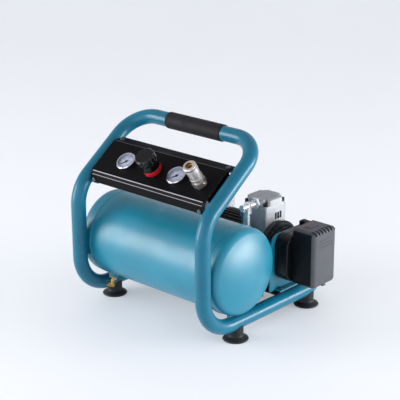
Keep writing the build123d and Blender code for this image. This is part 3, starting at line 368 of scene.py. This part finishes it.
# ---------------------------------------------------------------- piece helpers
def piece(name, mesh, material, body):
    """Put a mesh or text in the scene as a piece that rides on a body."""
    thing = bpy.data.objects.new(name, mesh)
    bpy.context.scene.collection.objects.link(thing)
    thing.data.materials.append(material)
    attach(thing, body)
    return thing


def piece_of(name, mesh, material, body):
    """Turn a finished bmesh into a piece."""
    data = bpy.data.meshes.new(name)
    mesh.to_mesh(data)
    mesh.free()
    piece(name, data, material, body)


def middle(node):
    """Middle of a node's box."""
    low, high = corners(node)
    return (low + high) / 2


def face_matrix(origin, across, normal):
    """Matrix of a face: x across, z along its normal."""
    across = Vector(across).normalized()
    normal = Vector(normal).normalized()
    up = normal.cross(across)
    matrix = Matrix((across, up, normal)).transposed().to_4x4()
    matrix.translation = origin
    return matrix


def flat_ring(name, matrix, inner, outer, start, sweep, thick, material, body, slot, steps=48):
    """Thin raised band round an arc; angles are in degrees, counter-clockwise from across."""
    mesh = bmesh.new()
    count = max(2, round(steps * abs(sweep) / 360))
    rows = []
    for index in range(count + 1):
        angle = math.radians(start + sweep * index / count)
        out = Vector((math.cos(angle), math.sin(angle), 0))
        rise = Vector((0, 0, thick))
        section = (out * inner, out * outer, out * outer + rise, out * inner + rise)
        rows.append([mesh.verts.new(matrix @ corner) for corner in section])
    whole = abs(abs(sweep) - 360) < 1e-6
    for index in range(count):
        for side in range(4):
            a, b = rows[index][side], rows[index][(side + 1) % 4]
            c, d = rows[index + 1][(side + 1) % 4], rows[index + 1][side]
            mesh.faces.new((a, b, c, d))
    if not whole:
        mesh.faces.new(rows[0])
        mesh.faces.new(reversed(rows[-1]))
    else:
        bmesh.ops.remove_doubles(mesh, verts=mesh.verts, dist=1e-7)
    bmesh.ops.recalc_face_normals(mesh, faces=mesh.faces)
    piece_of(name, mesh, material, body)


def bars(name, matrix, rects, thick, material, body, slot):
    """Thin raised bars: each is (x, y, half length, half width, degrees) on a face."""
    mesh = bmesh.new()
    for x, y, half_long, half_wide, degrees in rects:
        turned = Matrix.Rotation(math.radians(degrees), 4, "Z")
        spot = matrix @ Matrix.Translation((x, y, thick / 2)) @ turned
        scale = Matrix.Diagonal((2 * half_long, 2 * half_wide, thick, 1))
        bmesh.ops.create_cube(mesh, size=1.0, matrix=spot @ scale)
    piece_of(name, mesh, material, body)


def prism(name, outline, x_low, x_high, material, body, slot):
    """Plate of a (y, z) outline between two x places, all in millimetres."""
    mesh = bmesh.new()
    ends = []
    for x in (x_low, x_high):
        ends.append([mesh.verts.new((x * MM, y * MM, z * MM)) for y, z in outline])
    mesh.faces.new(ends[0])
    mesh.faces.new(reversed(ends[1]))
    for index in range(len(outline)):
        after = (index + 1) % len(outline)
        mesh.faces.new((ends[0][index], ends[1][index], ends[1][after], ends[0][after]))
    bmesh.ops.recalc_face_normals(mesh, faces=mesh.faces)
    piece_of(name, mesh, material, body)


def numeral(name, text, matrix, x, y, size, material, body, slot, thick=0.05 * MM):
    """A plain numeral standing on a face."""
    curve = bpy.data.curves.new(name, "FONT")
    curve.body = text
    curve.size = size
    curve.align_x = "CENTER"
    curve.align_y = "CENTER"
    curve.extrude = thick
    thing = piece(name, curve, material, body)
    thing.matrix_world = matrix @ Matrix.Translation((x, y, thick))


# ---------------------------------------------------------------- gauge dials
SLOPE = math.radians(36)
PANEL_NORMAL = Vector((0, -math.sin(SLOPE), math.cos(SLOPE)))
DIAL_START = 225.0
DIAL_SWEEP = -270.0
DIAL_FACE = 0.42 * MM  # from a dial's middle to just over its face
INK_THICK = 0.08 * MM
# shares of a dial's radius: bands have an inner and an outer one, ticks half a length and half a width
SCALE_BAND = (0.80, 0.83)
LIMIT_BAND = (0.72, 0.79)
BOSS_BAND = (0.10, 0.125)
TICK_AT = 0.9
MAJOR_TICK = (0.065, 0.016)
MINOR_TICK = (0.035, 0.009)
FIGURE_AT = 0.60
FIGURE_SIZE = 0.2
TICKS_PER_FIGURE = 5
INKED = (INK, "frame", "pointer_black")
RED_INKED = (RED_INK, "frame", "red_plastic")


def on_arc(radius, degrees):
    """Place on a face at a radius and an angle."""
    angle = math.radians(degrees)
    return radius * math.cos(angle), radius * math.sin(angle)


def dial_marks(side, figures, red_from):
    """Scale ring, red sector, ticks, figures and boss ring on one gauge."""
    dial = f"gauge_{side}_dial"
    low, high = corners(dial)
    radius = (high.x - low.x) / 2
    face = face_matrix(middle(dial) + PANEL_NORMAL * DIAL_FACE, (1, 0, 0), PANEL_NORMAL)

    def band(name, shares, start, sweep, ink):
        inner, outer = (radius * share for share in shares)
        flat_ring(f"{name}_{side}", face, inner, outer, start, sweep, INK_THICK, *ink)

    band("scale", SCALE_BAND, DIAL_START, DIAL_SWEEP, INKED)
    band("limit", LIMIT_BAND, DIAL_START + DIAL_SWEEP * red_from, DIAL_SWEEP * (1 - red_from), RED_INKED)
    ticks = []
    spaces = TICKS_PER_FIGURE * (len(figures) - 1)
    for index in range(spaces + 1):
        degrees = DIAL_START + DIAL_SWEEP * index / spaces
        half_long, half_wide = MINOR_TICK if index % TICKS_PER_FIGURE else MAJOR_TICK
        x, y = on_arc(radius * (TICK_AT - half_long * 0.5), degrees)
        ticks.append((x, y, radius * half_long, radius * half_wide, degrees))
    bars(f"ticks_{side}", face, ticks, INK_THICK, *INKED)
    for index, figure in enumerate(figures):
        x, y = on_arc(radius * FIGURE_AT, DIAL_START + DIAL_SWEEP * index / (len(figures) - 1))
        numeral(f"figure_{side}_{index}", figure, face, x, y, radius * FIGURE_SIZE, *INKED)
    band("dial_boss", BOSS_BAND, 0, 360, INKED)


dial_marks("left", ("0", "3", "6", "9", "12"), 0.85)
dial_marks("right", ("0", "2", "4", "6", "8", "10"), 0.8)

# ---------------------------------------------------------------- battery stripe
RED_TRIM = (LOOKS["red_plastic"], "battery", "red_plastic")
STRIPE_INSET = 8.4 * MM
STRIPE_HALF = (0.8 * MM, 16.0 * MM)
STRIPE_THICK = 0.3 * MM
battery_mid_y = (battery_low.y + battery_high.y) / 2
stripe_place = (battery_low.x + STRIPE_INSET, battery_mid_y, battery_high.z)
stripe_face = face_matrix(stripe_place, (1, 0, 0), (0, 0, 1))
bars("battery_stripe", stripe_face, [(0, 0, *STRIPE_HALF, 0)], STRIPE_THICK, *RED_TRIM)

# ---------------------------------------------------------------- panel fold highlights (painted) and gusset plates
# pale and grey strips laid on the folds: painted highlights, not trim
SHINE = painted("fold_shine", srgb(160, 158, 166), 0.35)
SHEEN = painted("fold_sheen", srgb(86, 82, 90), 0.45)
FOLD_THICK = 0.2 * MM
FOLD_SETBACK = 5 * MM
# painted highlights along the panel's folds, where the bends catch the light: y and z in mm from its low
# corner, normal, half width in mm
FOLDS = (
    ("fold_upper", 2.6, 21.0, (0, -0.83, 0.55), 0.8, SHINE),
    ("fold_lower", 0.6, 14.5, (0, -0.64, 0.77), 0.6, SHINE),
    ("fold_rear", 62.5, 64.5, (0, -0.31, 0.95), 0.4, SHEEN),
)
panel_low, panel_high = corners("control_panel")
panel_mid_x = (panel_low.x + panel_high.x) / 2
panel_half = (panel_high.x - panel_low.x) / 2
for name, along, up, normal, half_wide, material in FOLDS:
    spot = Vector((panel_mid_x, panel_low.y + along * MM, panel_low.z + up * MM))
    strip = [(0, 0, panel_half - FOLD_SETBACK, half_wide * MM, 0)]
    bars(name, face_matrix(spot, (1, 0, 0), normal), strip, FOLD_THICK, material, "frame", "black_sheet")
# plates that close the gaps between the panel's ends and the side tubes: (y, z) corners in mm
GUSSET = ((-100.1, 310.5), (-93.5, 314.1), (-89.2, 314.2), (-89.2, 300.0), (-87.8, 293.5))
GUSSET_THICK = 0.8
GUSSET_STARTS = (("gusset_left", panel_low.x / MM + 0.2), ("gusset_right", panel_high.x / MM - 1.0))
for name, x in GUSSET_STARTS:
    prism(name, GUSSET, x, x + GUSSET_THICK, LOOKS["black_sheet"], "frame", "black_sheet")

# ---------------------------------------------------------------- coupler liner, painted shade in the coupler's groove, painted highlight on the knob's rim
MOUTH_ABOVE_SLEEVE = 20 * MM  # from the sleeve's middle to the coupler's mouth


def coupler_ring(name, depth, inner, outer, thick, material, slot):
    """Ring in the coupler, with its foot at a depth below the mouth; all in millimetres."""
    place = middle("coupler_sleeve") + PANEL_NORMAL * (MOUTH_ABOVE_SLEEVE - depth * MM)
    face = face_matrix(place, (1, 0, 0), PANEL_NORMAL)
    flat_ring(name, face, inner * MM, outer * MM, 0, 360, thick * MM, material, "frame", slot)


coupler_ring("coupler_liner", 5.0, 6.7, 7.55, 4.4, LOOKS["brass"], "brass")
# near-black ring in the groove between sleeve and barrel: painted shade
coupler_ring("coupler_groove_shade", 5.1, 9.45, 11.7, 1.0, RECESS_SHADE, "black_steel")

# light grey ring on the knob's top: a painted highlight along its rim
KNOB_GLINT = plastic("knob_painted_glint", srgb(96, 100, 104), 0.2, grain=0.05)
KNOB_BAND = (0.71, 0.80)  # shares of the knob's radius
KNOB_BAND_THICK = 0.4 * MM
knob_low, knob_high = corners("regulator_knob")
knob_r = (knob_high.x - knob_low.x) / 2
knob_h = (knob_high.z - knob_low.z - 2 * knob_r * math.sin(SLOPE)) / math.cos(SLOPE)
knob_top = face_matrix(middle("regulator_knob") + PANEL_NORMAL * knob_h / 2, (1, 0, 0), PANEL_NORMAL)
knob_band = (knob_r * share for share in KNOB_BAND)
flat_ring("knob_rim_highlight", knob_top, *knob_band, 0, 360, KNOB_BAND_THICK, KNOB_GLINT, "knob", "knob_plastic")

# ---------------------------------------------------------------- painted shade inside windows, dots and vents
WINDOW_PITCH = 7.0 * MM
WINDOW_HALF = (6.8 * MM, 2.85 * MM)
WINDOW_DEPTH = 2.45 * MM
WINDOW_REARWARD = 6.3 * MM  # from the middle of the pump block
WINDOW_DOWN = 20 * MM
WINDOW_THICK = 0.3 * MM
# near-black plates laid in the pump's window slots: painted shade in their depth
for side, sign in (("left", -1), ("right", 1)):
    block_low, block_high = corners(f"pump_block_{side}")
    block_face = block_high.x if sign > 0 else block_low.x
    window_y = (block_low.y + block_high.y) / 2 + WINDOW_REARWARD
    window = Vector((block_face - sign * WINDOW_DEPTH, window_y, block_high.z - WINDOW_DOWN))
    plates = [(0, WINDOW_PITCH * step, *WINDOW_HALF, 0) for step in (-1, 0, 1)]
    face = face_matrix(window, (0, 0, 1), (sign, 0, 0))
    bars(f"window_{side}", face, plates, WINDOW_THICK, RECESS_SHADE, "frame", "black_steel")

SHADE_IN_BATTERY = (RECESS_SHADE, "battery", "battery_black")
DOTS_ACROSS, DOTS_UP = 8, 3
DOT_PITCH, DOT_ROW = 4.6 * MM, 6.5 * MM
DOT_HALF = (0.88 * MM, 0.42 * MM)
DOT_DEPTH = 0.25 * MM
DOT_THICK = 0.1 * MM
DOTS_DOWN = 25 * MM
dots = []
for row in range(DOTS_UP):
    for column in range(DOTS_ACROSS):
        across = DOT_PITCH * (column - (DOTS_ACROSS - 1) / 2)
        up = DOT_ROW * (row - (DOTS_UP - 1) / 2)
        dots += [(across, up, *DOT_HALF, degrees) for degrees in (0, 60, 120)]
# near-black plates in the battery's dot holes: painted shade
dot_place = Vector((battery_high.x - DOT_DEPTH, battery_mid_y, battery_high.z - DOTS_DOWN))
bars("battery_dot_shade", face_matrix(dot_place, (0, 1, 0), (1, 0, 0)), dots, DOT_THICK, *SHADE_IN_BATTERY)

# in millimetres from here on; each part of a vent has its bottom and top below the battery's top, and its
# outer end's distance in from the battery's face
# near-black plates on each vent's floor and back: painted shade
VENTS = 7
VENT_PITCH = 9.0
VENT_OFFSET = 0.5
VENT_HALF = 2.65
VENT_INNER = 12.9
VENT_PARTS = (("vent_floor", 6.98, 5.2, 1.2), ("vent_back", 5.2, 3.2, 3.5))
for step in range(VENTS):
    y = battery_mid_y / MM + VENT_PITCH * (step - (VENTS - 1) / 2) + VENT_OFFSET
    for name, deep, shallow, outer in VENT_PARTS:
        low, high = (battery_high.z / MM - down for down in (deep, shallow))
        left, right = y - VENT_HALF, y + VENT_HALF
        outline = ((left, low), (right, low), (right, high), (left, high))
        ends = (battery_high.x / MM - VENT_INNER, battery_high.x / MM - outer)
        prism(f"{name}_{step}", outline, *ends, *SHADE_IN_BATTERY)

# ---------------------------------------------------------------- stage
FLOOR_COLOUR = srgb(220, 222, 227)
FLOOR_GLOW = (0.95, 0.965, 1.0, 1.0)
FLOOR_GLOW_STRENGTH = 0.29
FLOOR_FLAT = 3.2
FLOOR_LIP = 0.2
FLOOR_RIM = 2.0
FLOOR_SIDES = 96
RIM_STEPS = 16


def backdrop():
    """Pale round floor whose rim curves up into a low wall on every side."""
    mesh = bmesh.new()
    profile = [(FLOOR_FLAT - FLOOR_LIP, 0.0), (FLOOR_FLAT, 0.0)]
    for index in range(1, RIM_STEPS + 1):
        angle = math.pi / 2 * index / RIM_STEPS
        profile.append((FLOOR_FLAT + FLOOR_RIM * math.sin(angle), FLOOR_RIM * (1 - math.cos(angle))))
    rows = []
    for reach, height in profile:
        row = []
        for step in range(FLOOR_SIDES):
            turn = 2 * math.pi * step / FLOOR_SIDES
            row.append(mesh.verts.new((reach * math.cos(turn), reach * math.sin(turn), height)))
        rows.append(row)
    mesh.faces.new(rows[0])
    for lower, upper in zip(rows, rows[1:]):
        for step in range(FLOOR_SIDES):
            after = (step + 1) % FLOOR_SIDES
            mesh.faces.new((lower[after], lower[step], upper[step], upper[after]))
    data = bpy.data.meshes.new("floor")
    mesh.to_mesh(data)
    mesh.free()
    for polygon in data.polygons:
        polygon.use_smooth = True
    look = Look("studio_floor", specular=0.3)
    look.set("Base Color", look.mix(look.noise(1.5), FLOOR_COLOUR, tinted(FLOOR_COLOUR, 0.97)))
    look.set("Roughness", look.spread(look.noise(3.0), *DRIFT, 0.5, 0.6))
    look.shader.inputs["Emission Color"].default_value = FLOOR_GLOW
    look.shader.inputs["Emission Strength"].default_value = FLOOR_GLOW_STRENGTH
    thing = bpy.data.objects.new("floor", data)
    bpy.context.scene.collection.objects.link(thing)
    data.materials.append(look.material)


CAMERA_AZIMUTH = 42.495
CAMERA_ELEVATION = 19.223
CAMERA_ROLL = -0.284
CAMERA_PLACE = (1.47137, -1.63386, 0.97629)
CAMERA_LENS = 111.954
SENSOR_WIDTH = 36.0
CLIP_END = 50.0


def camera():
    """Camera at the photograph's angle."""
    data = bpy.data.cameras.new("camera")
    data.lens = CAMERA_LENS
    data.sensor_width = SENSOR_WIDTH
    data.clip_end = CLIP_END
    thing = bpy.data.objects.new("camera", data)
    bpy.context.scene.collection.objects.link(thing)
    turn = Matrix.Rotation(math.radians(CAMERA_AZIMUTH), 4, "Z")
    turn = turn @ Matrix.Rotation(math.radians(90 - CAMERA_ELEVATION), 4, "X")
    turn = turn @ Matrix.Rotation(math.radians(CAMERA_ROLL), 4, "Z")
    thing.matrix_world = Matrix.Translation(CAMERA_PLACE) @ turn
    bpy.context.scene.camera = thing


def softbox(name, place, size, power):
    """Rectangular white light that faces the object."""
    data = bpy.data.lights.new(name, "AREA")
    data.shape = "RECTANGLE"
    data.size, data.size_y = size
    data.energy = power
    thing = bpy.data.objects.new(name, data)
    bpy.context.scene.collection.objects.link(thing)
    away = Vector(place) - LIT_CENTRE
    thing.matrix_world = Matrix.Translation(place) @ away.to_track_quat("Z", "Y").to_matrix().to_4x4()


LIT_CENTRE = Vector((0, 0, 0.15))
# each light's place and size in metres, and its power in watts
LIGHTS = (
    ("right_box", (2.3, 1.25, 0.42), (2.2, 0.76), 72.0),
    ("left_box", (-1.78, -2.09, 0.71), (1.5, 1.5), 52.0),
    ("front_box", (0.26, -2.64, 1.07), (1.6, 1.6), 9.0),
)
SKY_COLOUR = (0.96, 0.97, 1.0, 1)
SKY_STRENGTH = 0.6
backdrop()
camera()
for light in LIGHTS:
    softbox(*light)
world = bpy.data.worlds.new("studio")
world.use_nodes = True
sky = world.node_tree.nodes["Background"]
sky.inputs["Color"].default_value = SKY_COLOUR
sky.inputs["Strength"].default_value = SKY_STRENGTH
bpy.context.scene.world = world
bpy.context.scene.view_settings.view_transform = "Standard"
